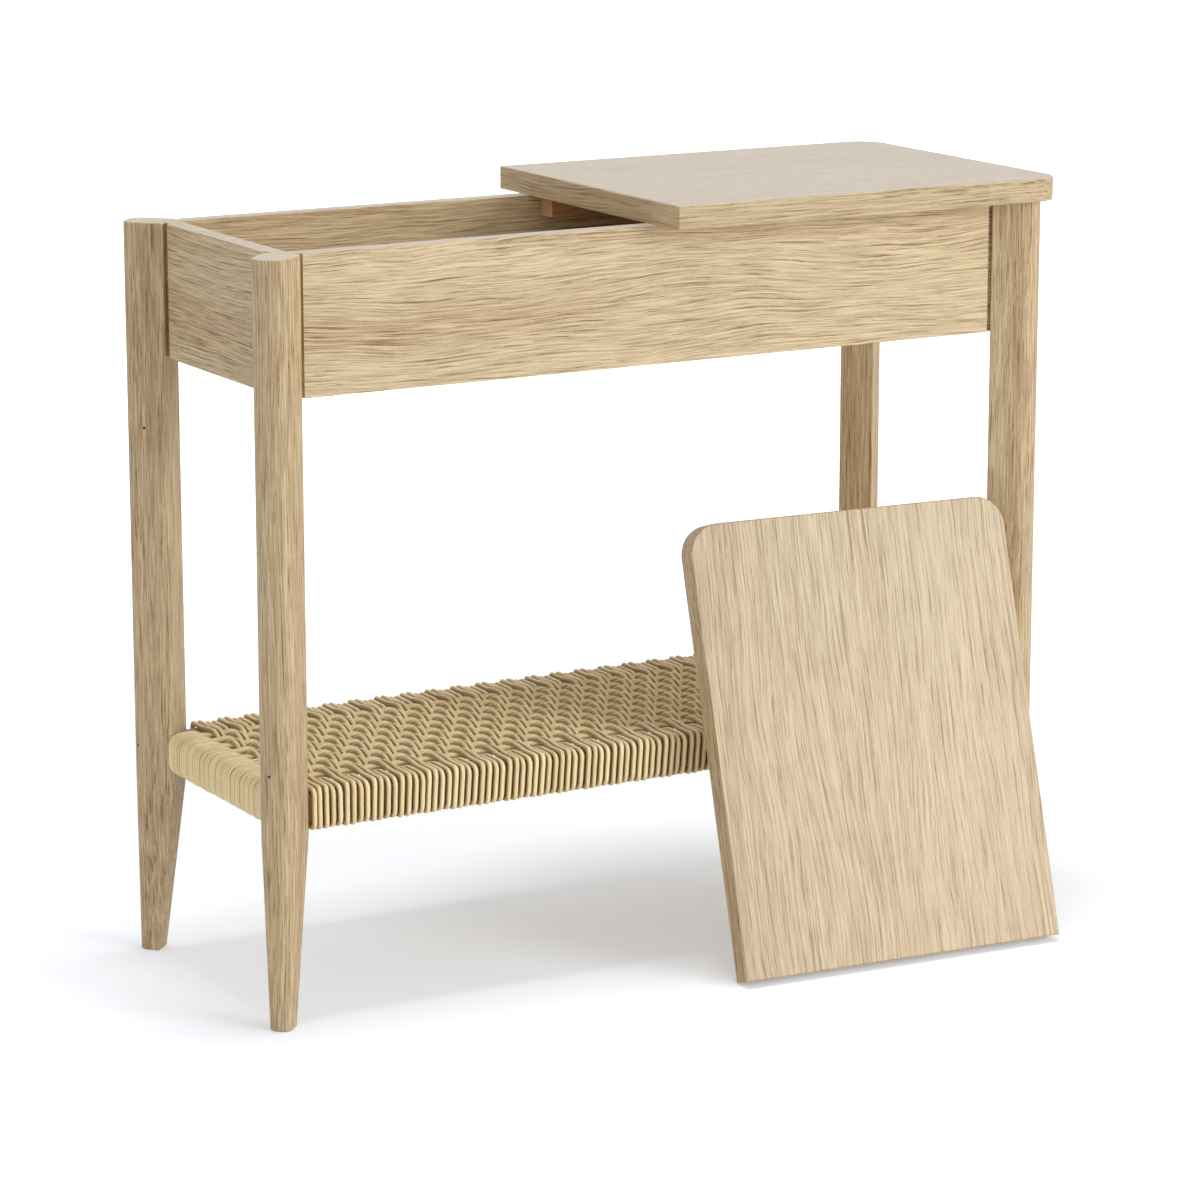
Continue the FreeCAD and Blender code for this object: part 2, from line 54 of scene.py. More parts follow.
def add_object(name, data):
    added = bpy.data.objects.new(name, data)
    bpy.context.collection.objects.link(added)
    return added


# ---------------------------------------------------------------- camera
IMAGE_SIDE = 1200
SENSOR = 36.0
FOCAL_PIXELS = 4368.4
CAMERA_PLACE = (-1.6495, -2.8995, 1.0227)
CAMERA_AZIMUTH = math.radians(29.81)
CAMERA_PITCH = math.radians(12.55)
SHIFT_PIXELS = (-3.95, -20.4)


def add_camera():
    data = bpy.data.cameras.new("camera")
    data.sensor_width = SENSOR
    data.lens = FOCAL_PIXELS / IMAGE_SIDE * SENSOR
    data.shift_x = SHIFT_PIXELS[0] / IMAGE_SIDE
    data.shift_y = SHIFT_PIXELS[1] / IMAGE_SIDE
    camera = add_object("camera", data)
    camera.location = CAMERA_PLACE
    camera.rotation_euler = (math.pi / 2 - CAMERA_PITCH, 0, -CAMERA_AZIMUTH)
    bpy.context.scene.camera = camera


add_camera()

# ---------------------------------------------------------------- shader helpers
# a round mark fades out between these shares of its radius
SPOT_INNER, SPOT_OUTER = 0.6, 1.3


class Graph:
    """Short calls for building one material's node tree."""

    def __init__(self, name):
        self.material = bpy.data.materials.new(name)
        self.material.use_nodes = True
        self.tree = self.material.node_tree
        self.shader = self.tree.nodes["Principled BSDF"]

    def feed(self, socket, value):
        """Link a socket's value, or set a plain one."""
        if isinstance(value, bpy.types.NodeSocket):
            self.tree.links.new(value, socket)
        elif value is not None:
            socket.default_value = value

    def give(self, name, value):
        """Feed one of the shader's own sockets."""
        self.feed(self.shader.inputs[name], value)

    def math(self, operation, first, second=None, clamp=False):
        node = self.tree.nodes.new("ShaderNodeMath")
        node.operation = operation
        node.use_clamp = clamp
        self.feed(node.inputs[0], first)
        self.feed(node.inputs[1], second)
        return node.outputs[0]

    def add(self, *values):
        total = values[0]
        for value in values[1:]:
            total = self.math("ADD", total, value)
        return total

    def times(self, first, second):
        return self.math("MULTIPLY", first, second)

    def absolute(self, value):
        return self.math("ABSOLUTE", value)

    def centred(self, value):
        """A noise's value about 0 instead of 0.5."""
        return self.math("SUBTRACT", value, 0.5)

    def vector_math(self, operation, vector, other=None):
        node = self.tree.nodes.new("ShaderNodeVectorMath")
        node.operation = operation
        self.feed(node.inputs[0], vector)
        self.feed(node.inputs[1], other)
        return node.outputs["Value"]

    def dot(self, vector, axis):
        return self.vector_math("DOT_PRODUCT", vector, axis)

    def combine(self, x, y, z):
        node = self.tree.nodes.new("ShaderNodeCombineXYZ")
        for socket, value in zip(node.inputs, (x, y, z)):
            self.feed(socket, value)
        return node.outputs[0]

    def noise(self, vector, detail, roughness=0.5):
        node = self.tree.nodes.new("ShaderNodeTexNoise")
        node.inputs["Scale"].default_value = 1.0
        node.inputs["Detail"].default_value = detail
        node.inputs["Roughness"].default_value = roughness
        self.feed(node.inputs["Vector"], vector)
        return node.outputs["Fac"]

    def ramp(self, value, low, high, out_low=0.0, out_high=1.0):
        """A smooth step from out_low to out_high as value goes from low to high."""
        node = self.tree.nodes.new("ShaderNodeMapRange")
        node.interpolation_type = "SMOOTHSTEP"
        self.feed(node.inputs["Value"], value)
        node.inputs["From Min"].default_value = low
        node.inputs["From Max"].default_value = high
        node.inputs["To Min"].default_value = out_low
        node.inputs["To Max"].default_value = out_high
        return node.outputs[0]

    def mix(self, factor, first, second):
        """A colour between first and second."""
        node = self.tree.nodes.new("ShaderNodeMix")
        node.data_type = "RGBA"
        node.clamp_factor = True
        self.feed(node.inputs["Factor"], factor)
        colours = [socket for socket in node.inputs if socket.type == "RGBA"]
        self.feed(colours[0], first)
        self.feed(colours[1], second)
        return next(socket for socket in node.outputs if socket.type == "RGBA")

    def blend(self, factor, first, second):
        """A number between first and second."""
        return self.add(first, self.times(factor, self.math("SUBTRACT", second, first)))

    def place(self):
        return self.tree.nodes.new("ShaderNodeTexCoord").outputs["Object"]

    def facing(self):
        return self.tree.nodes.new("ShaderNodeNewGeometry").outputs["Normal"]

    def camera_ray(self):
        return self.tree.nodes.new("ShaderNodeLightPath").outputs["Is Camera Ray"]

    def bump(self, height, distance, strength):
        node = self.tree.nodes.new("ShaderNodeBump")
        node.inputs["Distance"].default_value = distance
        node.inputs["Strength"].default_value = strength
        self.feed(node.inputs["Height"], height)
        self.give("Normal", node.outputs[0])

    def spot(self, centre, radius):
        """1 inside a small round mark, 0 outside it."""
        away = self.vector_math("DISTANCE", self.place(), centre)
        return self.ramp(away, SPOT_INNER * radius, SPOT_OUTER * radius, 1.0, 0.0)


def colour(red, green, blue):
    """A colour given as it shows on the screen, 0 to 255, as linear light."""

    def linear(level):
        level /= 255
        return level / 12.92 if level <= 0.04045 else ((level + 0.055) / 1.055) ** 2.4

    return (linear(red), linear(green), linear(blue), 1.0)


# ---------------------------------------------------------------- oak
# painted sheen: the faces along an axis take some of a greyer tone, a painted reflection of the broad soft
# light: the axis, the tone and its share
UPPER_PAINTED_SHEEN = (Z, colour(178, 171, 161), 0.68)
PAINTED_SHEEN_EDGE = (0.75, 0.97)
END_EDGE = (0.72, 0.8)
# noise scales count features per metre, along the fibres and across them
DRIFT_SCALES, DRIFT = (3.5, 11), 0.03
RIPPLE_SCALES, RIPPLE = (22, 45), 0.0022
BAND_SCALES = (2.0, 26)
# the heart of the tree, sideways of and below the pattern's zero, in metres
HEART_SIDE, HEART_DEPTH = 0.035, 0.16
# growth rings per metre away from the heart, and how many more sideways
RINGS, RINGS_TILT = 300, 110
SPRING_FADE = 1.8
# the noise values between which dark, fine dark and pale fibres come up
FIBRE_EDGE, FINE_EDGE, BRIGHT_EDGE = (0.5, 0.64), (0.52, 0.64), (0.49, 0.62)
# how much of each makes the wood darker
SPRING_SHARE, FIBRE_SHARE, FINE_SHARE, BAND_SHARE, BRIGHT_SHARE = 0.5, 0.4, 0.5, 0.5, -0.6
# fine fibres show this much all over, and the rest in the spring wood
FINE_EVERYWHERE = 0.3
# the darkness of plain wood, and the one about which contrast spreads it
PLAIN_DARK, MEAN_DARK = 0.3, 0.37
SAWN_END_DARK = 0.35
WARM_OAK, WARM_SHARE, WARM_EDGE = colour(214, 178, 138), 0.35, (0.42, 0.68)
KNOT = colour(38, 22, 10)
SHIFT_RANGE = (0.3, 3.0)
OAK_SPECULAR = 0.4
PORE_ROUGHNESS = 0.12
# how far the fibres stand up and the fine ones sink, as shares of the relief
FIBRE_UP, FINE_DOWN = 0.4, -0.6
GRAIN_RELIEF, GRAIN_STRENGTH = 0.0003, 0.6


def oak(
    name,
    grain,
    tones,
    shift,
    contrast=1.0,
    wave=1.0,
    streak=(12, 900),
    roughness=0.5,
    banded=False,
    marks=(),
    sheen=UPPER_PAINTED_SHEEN,
):
    """Sawn oak.  grain: the directions along the fibres, across them on the show face, and into the
    board.  tones: light and dark.  shift moves the pattern, so that no two boards show the same
    figure.  wave is how much the grain wanders, and streak the scales of the fibres.  The ends of a
    banded board carry a strip of veneer whose fibres run along the edge.  marks: dark pin knots, as
    (centre, radius).  The last argument, with the upward faces as its default, is a painted sheen: a
    painted reflection, the greyer tone that satin lacquer shows under a broad soft light."""
    g = Graph(name)
    light, dark = tones
    place, facing = g.place(), g.facing()
    end_face = g.ramp(g.absolute(g.dot(facing, grain[0])), *END_EDGE)
    along, across, depth = (g.add(g.dot(place, axis), start) for axis, start in zip(grain, shift))
    if banded:
        along, across, depth = (
            g.blend(end_face, along, across),
            g.blend(end_face, across, depth),
            g.blend(end_face, depth, along),
        )

    def figure(scales, sideways, detail, roughness=0.5, start=0.0):
        """Noise drawn out along the fibres."""
        long_scale, cross_scale = scales
        return g.noise(
            g.combine(
                g.times(along, long_scale),
                g.add(g.times(sideways, cross_scale), start),
                g.times(depth, cross_scale),
            ),
            detail,
            roughness,
        )

    moved = g.add(
        across,
        g.times(g.centred(figure(DRIFT_SCALES, across, 2)), DRIFT * wave),
        g.times(g.centred(figure(RIPPLE_SCALES, across, 2)), RIPPLE * wave),
    )
    # growth rings: sharp where the open spring wood starts, fading into the dense summer wood
    side = g.add(moved, HEART_SIDE)
    core = g.add(depth, HEART_DEPTH)
    radius = g.math("SQRT", g.add(g.times(side, side), g.times(core, core)))
    ring = g.math("FRACT", g.add(g.times(radius, RINGS), g.times(side, RINGS_TILT)))
    spring = g.math("POWER", g.math("SUBTRACT", 1.0, ring), SPRING_FADE)

    def fibres(share, detail, roughness, start):
        return figure([share * scale for scale in streak], moved, detail, roughness, start)

    fibre = fibres(share=1.0, detail=5, roughness=0.72, start=0.0)
    fine = fibres(share=1.9, detail=3, roughness=0.66, start=9.0)
    bright = fibres(share=0.9, detail=4, roughness=0.66, start=21.0)
    band = figure(BAND_SCALES, across, 3)
    fibre_dark = g.ramp(fibre, *FIBRE_EDGE)
    fine_shows = g.add(g.times(spring, 1 - FINE_EVERYWHERE), FINE_EVERYWHERE)
    fine_dark = g.times(g.ramp(fine, *FINE_EDGE), fine_shows)
    amount = g.add(
        g.times(g.times(spring, fibre_dark), SPRING_SHARE),
        g.times(fibre_dark, FIBRE_SHARE),
        g.times(fine_dark, FINE_SHARE),
        g.times(g.centred(band), BAND_SHARE),
        g.times(g.ramp(bright, *BRIGHT_EDGE), BRIGHT_SHARE),
        PLAIN_DARK - MEAN_DARK,
    )
    amount = g.math("ADD", g.times(amount, contrast), MEAN_DARK, clamp=True)
    if not banded:
        amount = g.times(amount, g.ramp(end_face, 0, 1, 1.0, SAWN_END_DARK))
    warm = g.mix(WARM_SHARE, light, WARM_OAK)
    tone = g.mix(amount, g.mix(g.ramp(band, *WARM_EDGE), light, warm), dark)
    sheen_axis, sheen_tone, sheen_share = sheen
    # painted sheen: faces that look along the axis are mixed towards a greyer tone, which stands in for the
    # lacquer's reflection
    tone = g.mix(g.ramp(g.dot(facing, sheen_axis), *PAINTED_SHEEN_EDGE, 0.0, sheen_share), tone, sheen_tone)
    for mark in marks:
        tone = g.mix(g.spot(*mark), tone, KNOT)
    g.give("Base Color", tone)
    g.give("Roughness", g.add(g.times(fibre_dark, PORE_ROUGHNESS), roughness))
    g.give("Specular IOR Level", OAK_SPECULAR)
    height = g.add(g.times(fibre, FIBRE_UP), g.times(fine_dark, FINE_DOWN))
    g.bump(height, GRAIN_RELIEF, GRAIN_STRENGTH)
    return g.material


def dress(node_name, material):
    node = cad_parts[node_name]
    for slot in node.material_slots:
        slot.material = material
    if not node.material_slots:
        node.data.materials.append(material)


def dress_oak(node_name, material_name, grain, tones, seed, **look):
    """Oak for a CAD node, from its own place in the pattern."""
    draws = random.Random(seed)
    shift = tuple(draws.uniform(*SHIFT_RANGE) for _ in range(3))
    dress(node_name, oak(material_name, grain, tones, shift, **look))


OAK_DARK = colour(140, 110, 70)
BOARD_TONES = (colour(227, 206, 167), OAK_DARK)
LEG_TONES = (colour(222, 200, 161), colour(138, 108, 70))
INNER_TONES = (colour(212, 170, 128), colour(160, 116, 78))
# painted shade: the rails' own wood is made dark brown, which stands in for the shade in the gaps between
# the cords that wrap them
RAIL_TONES = (colour(150, 112, 70), colour(96, 64, 36))
PLY_TONES = (colour(206, 180, 140), colour(160, 126, 84))
ALONG_X, ALONG_Y = (X, Z, Y), (Y, Z, X)
SIDE_GRAINS = {"front": ALONG_X, "back": ALONG_X, "left": ALONG_Y, "right": ALONG_Y}

DIAGONAL = math.sqrt(0.5)
LEG_MARKS = {
    "front_left": [((-0.3370, -0.1194, 0.1936), 0.0011)],
    "back_left": [((-0.3324, 0.1008, 0.4152), 0.0012), ((-0.3393, 0.1107, 0.1655), 0.0011)],
}
LEG_LOOK = dict(wave=0.5, contrast=1.0, streak=(22, 800))
for number, (corner, (side_x, side_y)) in enumerate(CORNERS.items()):
    radial = (side_x * DIAGONAL, side_y * DIAGONAL, 0)
    tangent = (-side_y * DIAGONAL, side_x * DIAGONAL, 0)
    grain = (Z, tangent, radial)
    marks = LEG_MARKS.get(corner, ())
    dress_oak(f"leg_{corner}", f"oak_{corner}", grain, LEG_TONES, number, marks=marks, **LEG_LOOK)

APRON_LOOK = dict(wave=1.1, contrast=1.05, streak=(19, 860))
PANEL_LOOK = dict(wave=1.0, contrast=1.15, streak=(20, 880))
for side, part, seed, look in (
    ("front", "apron", 10, APRON_LOOK),
    ("back", "apron", 11, APRON_LOOK),
    ("left", "end_panel", 20, PANEL_LOOK),
    ("right", "end_panel", 21, PANEL_LOOK),
):
    dress_oak(f"{side}_{part}", f"oak_{side}", SIDE_GRAINS[side], BOARD_TONES, seed, **look)

# the left half of the top leans back by LEAN and is turned about the upright by TURN
LEAN = math.radians(16.85)
TURN = math.radians(3.4)
LEAN_LONG = (math.sin(TURN) * math.sin(LEAN), math.cos(TURN) * math.sin(LEAN), math.cos(LEAN))
LEAN_ACROSS = (-math.cos(TURN), math.sin(TURN), 0)
LEAN_FACE = (-math.sin(TURN) * math.cos(LEAN), -math.cos(TURN) * math.cos(LEAN), math.sin(LEAN))
# painted sheen on the leaning lid's broad face: a greyer tone that stands in for the lacquer's reflection of
# the soft light
LEAN_PAINTED_SHEEN = (LEAN_FACE, colour(200, 186, 163), 0.3)
LID_LOOK = dict(wave=0.9, contrast=1.2, streak=(15, 800), roughness=0.38, banded=True)
PLAIN_LOOK = dict(contrast=0.7)
for half, grain, sheen, light, lid_seed, batten_seed in (
    ("right", (X, Y, Z), UPPER_PAINTED_SHEEN, colour(208, 186, 148), 33, 43),
    ("left", (LEAN_LONG, LEAN_ACROSS, LEAN_FACE), LEAN_PAINTED_SHEEN, colour(222, 201, 162), 31, 41),
):
    tones = (light, OAK_DARK)
    dress_oak(f"{half}_lid_panel", f"oak_{half}_lid", grain, tones, lid_seed, sheen=sheen, **LID_LOOK)
    for batten in ("front", "back"):
        node_name, material_name = f"{half}_lid_{batten}_batten", f"batten_{half}_{batten}"
        dress_oak(node_name, material_name, grain, INNER_TONES, batten_seed, **PLAIN_LOOK)

for seed, side in enumerate(SIDES, start=50):
    dress_oak(f"shelf_{side}_rail", f"rail_{side}", SIDE_GRAINS[side], RAIL_TONES, seed)
for seed, corner in enumerate(CORNERS, start=60):
    dress_oak(f"corner_block_{corner}", f"block_{corner}", (Z, X, Y), INNER_TONES, seed, **PLAIN_LOOK)
dress_oak("storage_floor", "floor_ply", (X, Y, Z), PLY_TONES, 70, contrast=0.6, wave=2.0)

# ---------------------------------------------------------------- steel
ZINC_TONES = (colour(150, 152, 154), colour(190, 192, 194))
ZINC_CLOUDS, ZINC_EDGE = 900, (0.3, 0.7)
ZINC_ROUGHNESS = (0.25, 0.45)
ZINC_RELIEF, ZINC_STRENGTH = 0.00005, 0.5
FASTENERS = (
    "leg_bolts",
    "bolt_washers",
    "bolt_nuts",
    "shelf_frame_screws",
    "right_lid_batten_screws",
    "left_lid_batten_screws",
)


def zinc():
    g = Graph("zinc_steel")
    place = g.place()
    cloud = g.noise(g.combine(*(g.times(g.dot(place, axis), ZINC_CLOUDS) for axis in (X, Y, Z))), 3)
    g.give("Base Color", g.mix(cloud, *ZINC_TONES))
    g.give("Metallic", 1.0)
    g.give("Roughness", g.ramp(cloud, *ZINC_EDGE, *ZINC_ROUGHNESS))
    g.bump(cloud, ZINC_RELIEF, ZINC_STRENGTH)
    return g.material


zinc_steel = zinc()
for name in FASTENERS:
    dress(name, zinc_steel)

# ---------------------------------------------------------------- the shelf's sizes, in millimetres
# the legs' centres; distances inwards are measured from the lines between them
LEG_X, LEG_Y = 321.727, 109.927
RAIL_OUTER, RAIL_INNER = 0.5, 22.5
RAIL_BOTTOM, RAIL_TOP = 149.0, 174.0
CORD_RADIUS = 2.0
# from a leg's centre to the first cord on a rail, which is nearer at one end than at the other
NEAR_END, FAR_END = 24.9, 29.2
DECK_EDGE = 26.5
# rows of two cords run along X, and groups of four cords, two over and two under, along Y
ROWS = 9
ROW_PITCH = (2 * LEG_Y - 2 * DECK_EDGE) / ROWS
GROUPS = 26
GROUP_PITCH = (2 * LEG_X - 2 * FAR_END) / (GROUPS - 0.25)
CORD_STEP = GROUP_PITCH / 4
PAIR_GAP = 4.9
# the deck's middle height, and how far each kind of cord swings from it
MIDDLE = 175.6
WARP_RISE = 3.3
WEFT_RISE = 0.9
# the cords that go round an end rail, with the ends of the rows among them
END_CORDS = 41

# ---------------------------------------------------------------- paper cord
CORD_LIGHT = colour(255, 238, 190)
CORD_DARK = colour(216, 178, 122)
CORD_SHADE = colour(130, 96, 58)
# the twist: strands in the cord, and the length of one turn
STRANDS, TWIST = 3, 22 * MM
# creases in the paper, per metre and per turn, and how fast they wind round
CREASES, CREASES_ROUND, CREASE_WIND = 700, 24, 77
BLOTCHES, OWN_BLOTCHES = 60, 31
# how pale the paper gets over a strand's ridge, which is a painted highlight, and by its creases, blotches
# and own tint
RIDGE_EDGE, RIDGE_PALE = (0.0, 0.4), (0.25, 0.5)
CREASE_PALE, BLOTCH_PALE, OWN_PALE = 0.25, 0.5, 0.35
FLANK_SHADE, SUNK_SHADE = 0.6, 0.1
# the weave's hollows are these heights from its middle, and this far inside the rails
SUNK_LOW, SUNK_HIGH, SUNK_MARGIN = -2, 2.5, 3
# faces that look down take none of the hollows' shade
UPWARD_EDGE = (-0.1, 0.3)
CORD_ROUGHNESS, CORD_SPECULAR = 0.55, 0.35
# the shares of the strands and of the creases in the relief
RIDGE_UP, CREASE_UP = 0.6, 0.4
CORD_RELIEF, CORD_STRENGTH = 0.0003, 0.6


def paper_cord(name, across, shade_from):
    """Twisted paper: strands wound round each other, each with fine creases.  The flanks that touch
    the next cord, along the axis across, and the hollows of the weave hold brown shade.
    shade_from is how far a flank turns before it darkens, as a share of its full turn."""
    g = Graph(name)
    uv = g.tree.nodes.new("ShaderNodeUVMap")
    uv.uv_map = "cord"
    split = g.tree.nodes.new("ShaderNodeSeparateXYZ")
    g.feed(split.inputs[0], uv.outputs[0])
    run, turn = split.outputs[0], split.outputs[1]
    tint = g.tree.nodes.new("ShaderNodeAttribute")
    tint.attribute_name = "tint"
    own = tint.outputs["Fac"]
    strand = g.math("FRACT", g.add(g.times(run, STRANDS / TWIST), g.times(turn, STRANDS)))
    ridge = g.math("SINE", g.times(strand, math.pi))
    wound = g.times(g.add(g.times(run, CREASE_WIND), turn), CREASES_ROUND)
    crease = g.noise(g.combine(g.times(run, CREASES), wound, own), 2)
    blotch = g.noise(g.combine(g.times(run, BLOTCHES), own, g.times(own, OWN_BLOTCHES)), 2)
    # painted highlight: paler over each strand's ridge; the rest is the paper's creases, blotches and own
    # tint
    ridge_highlight_and_tint = g.add(
        g.ramp(ridge, *RIDGE_EDGE, *RIDGE_PALE),
        g.times(crease, CREASE_PALE),
        g.times(g.centred(blotch), BLOTCH_PALE),
        g.times(own, OWN_PALE),
    )
    place, facing = g.place(), g.facing()
    flank = g.ramp(g.absolute(g.dot(facing, across)), shade_from, 1.0, 0.0, FLANK_SHADE)

    def inside(axis, leg):
        """1 between the rails, 0 on them."""
        edge = leg - RAIL_INNER
        return g.ramp(g.absolute(g.dot(place, axis)), (edge - SUNK_MARGIN) * MM, edge * MM, 1.0, 0.0)

    low, high = (MIDDLE + SUNK_LOW) * MM, (MIDDLE + SUNK_HIGH) * MM
    upward = g.ramp(g.dot(facing, Z), *UPWARD_EDGE)
    sunk = g.times(g.ramp(g.dot(place, Z), low, high, SUNK_SHADE, 0.0), upward)
    shade = g.math("MAXIMUM", flank, g.times(g.times(inside(X, LEG_X), inside(Y, LEG_Y)), sunk))
    g.give("Base Color", g.mix(shade, g.mix(ridge_highlight_and_tint, CORD_DARK, CORD_LIGHT), CORD_SHADE))
    g.give("Roughness", CORD_ROUGHNESS)
    g.give("Specular IOR Level", CORD_SPECULAR)
    g.bump(g.add(g.times(ridge, RIDGE_UP), g.times(crease, CREASE_UP)), CORD_RELIEF, CORD_STRENGTH)
    return g.material


# ---------------------------------------------------------------- cords as meshes
CORD_FACETS = 10


def smooth_path(points, spacing):
    """The points, in millimetres, with extra ones between them on a Catmull-Rom curve, about spacing
    apart.  The result is in metres."""
    points = [point * MM for point in points]
    spacing *= MM
    result = []
    for index in range(len(points) - 1):
        before = points[max(index - 1, 0)]
        start, end = points[index], points[index + 1]
        after = points[min(index + 2, len(points) - 1)]
        steps = max(1, round((end - start).length / spacing))
        for step in range(steps):
            t = step / steps
            result.append(
                0.5
                * (
                    2 * start
                    + (end - before) * t
                    + (2 * before - 5 * start + 4 * end - after) * t * t
                    + (3 * start - before - 3 * end + after) * t**3
                )
            )
    result.append(points[-1])
    return result


def cord_mesh(name, cords):
    """One mesh of round cords: each of cords is (points, radius, tint).  The map "cord" holds the
    length along a cord and the turn round it."""
    vertices, faces, uvs, tints = [], [], [], []
    for points, radius, tint in cords:
        base = len(vertices)
        count = len(points)
        normal = None
        lengths = [0.0]
        for index, point in enumerate(points):
            ahead = points[min(index + 1, count - 1)]
            behind = points[max(index - 1, 0)]
            tangent = (ahead - behind).normalized()
            if index:
                lengths.append(lengths[-1] + (point - behind).length)
            if normal is None:
                normal = tangent.orthogonal().normalized()
            normal = (normal - tangent * normal.dot(tangent)).normalized()
            binormal = tangent.cross(normal)
            for facet in range(CORD_FACETS):
                angle = 2 * math.pi * facet / CORD_FACETS
                vertices.append(point + radius * (math.cos(angle) * normal + math.sin(angle) * binormal))
                tints.append(tint)
        for index in range(count - 1):
            ring, onward = base + index * CORD_FACETS, base + (index + 1) * CORD_FACETS
            first, second = lengths[index], lengths[index + 1]
            for facet in range(CORD_FACETS):
                following = (facet + 1) % CORD_FACETS
                faces.append((ring + facet, ring + following, onward + following, onward + facet))
                low, high = facet / CORD_FACETS, (facet + 1) / CORD_FACETS
                uvs += [first, low, first, high, second, high, second, low]
        last = base + (count - 1) * CORD_FACETS
        for ring, order in ((base, reversed(range(CORD_FACETS))), (last, range(CORD_FACETS))):
            faces.append(tuple(ring + facet for facet in order))
            uvs += [0.0, 0.0] * CORD_FACETS
    mesh = bpy.data.meshes.new(name)
    mesh.from_pydata(vertices, [], faces)
    mesh.uv_layers.new(name="cord").data.foreach_set("uv", uvs)
    mesh.attributes.new("tint", "FLOAT", "POINT").data.foreach_set("value", tints)
    mesh.polygons.foreach_set("use_smooth", [True] * len(mesh.polygons))
    mesh.update()
    return add_object(name, mesh)


# ---------------------------------------------------------------- the weave, in millimetres
WEAVE_SEED = 7
rng = random.Random(WEAVE_SEED)
# the errors of a weave made by hand
PLACE_ERROR, LEAN_ERROR, SWELL_ERROR, RADIUS_ERROR = 0.3, 0.25, 0.3, 0.03
# the cut across a rounded corner, as a share of its size
CORNER_CUT = 0.3
# a warp that passes over the first row (1) or dives under it (-1): the size of its corners round a
# rail, its lift above the rail's cords, and its rise where it enters the weave
WARP_SHAPES = {1: (3.2, 1.2, 2.2), -1: (5.0, 0.0, -0.2)}
# the last points of a warp before the weave, inwards from the rail's inner face
WARP_LEAVES, WARP_ENTERS = -6, 1.5
# the cords on the front rail slope, more and more over the first groups
SLANT, SLANT_GROUPS = 1.9, 6
LOOP_CORNER, END_CORNER = 4.0, 7.0
LOOP_DROP = 2
WEFT_LEAVES, WEFT_INSET, WEFT_STEP = -2, 6, 2.8
WEFT_GAP = 0.1
WARP_SPACING, WEFT_SPACING = 1.6, 2.0


def jitter(size):
    return rng.uniform(-size, size)


def varied(path):
    """A cord of about the usual thickness, with a tint of its own."""
    return path, CORD_RADIUS * (1 + jitter(RADIUS_ERROR)) * MM, rng.random()


def round_rail(corner, swell=0.0):
    """The way over a rail, as (inwards, height) pairs, from its inner face, under it and up its outer
    face to its top."""
    off = CORD_RADIUS + swell
    inner, outer = RAIL_INNER + off, RAIL_OUTER - off
    low, high = RAIL_BOTTOM - off, RAIL_TOP + off
    cut = CORNER_CUT * corner
    return [
        (inner, 0.5 * (low + high)),
        (inner, low + corner),
        (inner - cut, low + cut),
        (inner - corner, low),
        (0.5 * (inner + outer), low),
        (outer + corner, low),
        (outer + cut, low + cut),
        (outer, low + corner),
        (outer, 0.5 * (low + high)),
        (outer, high - corner),
        (outer + cut, high - cut),
        (outer + corner, high),
    ]


def warp_path(x, drawn, over, slant):
    """A cord from under the front rail, over it, through the weave and round the back rail.  over is
    1 where it passes over the first row and -1 where it dives under it.  drawn is how far the weave
    pulls it towards the other cord of its pair, and slant how far to the left it comes out below."""
    corner, lift, rise = WARP_SHAPES[over]
    half = [(inwards, height + (lift if height > RAIL_TOP else 0)) for inwards, height in round_rail(corner)]
    half.append((RAIL_INNER + WARP_LEAVES, RAIL_TOP + CORD_RADIUS + lift))
    half.append((RAIL_INNER + WARP_ENTERS, RAIL_TOP + CORD_RADIUS + rise))
    path = []
    for inwards, height in half:
        fallen = (RAIL_TOP - height) / (RAIL_TOP - RAIL_BOTTOM)
        path.append((-slant * min(1.0, max(0.0, fallen)), inwards - LEG_Y, height))
    first = DECK_EDGE + ROW_PITCH / 2 - LEG_Y
    for quarter in range(4 * (ROWS - 1) + 1):
        height = MIDDLE + WARP_RISE * over * math.cos(math.pi * quarter / 4)
        path.append((drawn, first + quarter * ROW_PITCH / 4, height))
    path += [(0.0, LEG_Y - inwards, height) for inwards, height in reversed(half)]
    lean = jitter(LEAN_ERROR)
    return smooth_path([Vector((x + lean + pull, y, height)) for pull, y, height in path], WARP_SPACING)


def weft_height(x, row):
    """How high a row's cords lie at x: under the pairs of warps that pass over this row."""
    phase = (x + LEG_X - FAR_END) % GROUP_PITCH
    over_centre, under_centre = 0.5 * CORD_STEP, 2.5 * CORD_STEP
    if phase < over_centre:
        share = (phase + GROUP_PITCH - under_centre) / (GROUP_PITCH - under_centre + over_centre)
    elif phase < under_centre:
        share = 1 - (phase - over_centre) / (under_centre - over_centre)
    else:
        share = (phase - under_centre) / (GROUP_PITCH - under_centre + over_centre)
    blend = 0.5 - 0.5 * math.cos(math.pi * share)
    row_side = 1 if row % 2 == 0 else -1
    return MIDDLE - WEFT_RISE * row_side * (2 * blend - 1)


def weft_path(row, y, left_y, right_y):
    """A cord of a row at y, which wraps the end rails at left_y and right_y."""
    half = round_rail(END_CORNER)
    half.append((RAIL_INNER + WEFT_LEAVES, RAIL_TOP + CORD_RADIUS))
    path = [Vector((inwards - LEG_X, left_y, height)) for inwards, height in half]
    start, end = DECK_EDGE + WEFT_INSET - LEG_X, LEG_X - DECK_EDGE - WEFT_INSET
    steps = int((end - start) / WEFT_STEP)
    for step in range(steps + 1):
        x = start + (end - start) * step / steps
        path.append(Vector((x, y, weft_height(x, row))))
    path += [Vector((LEG_X - inwards, right_y, height)) for inwards, height in reversed(half)]
    return smooth_path(path, WEFT_SPACING)


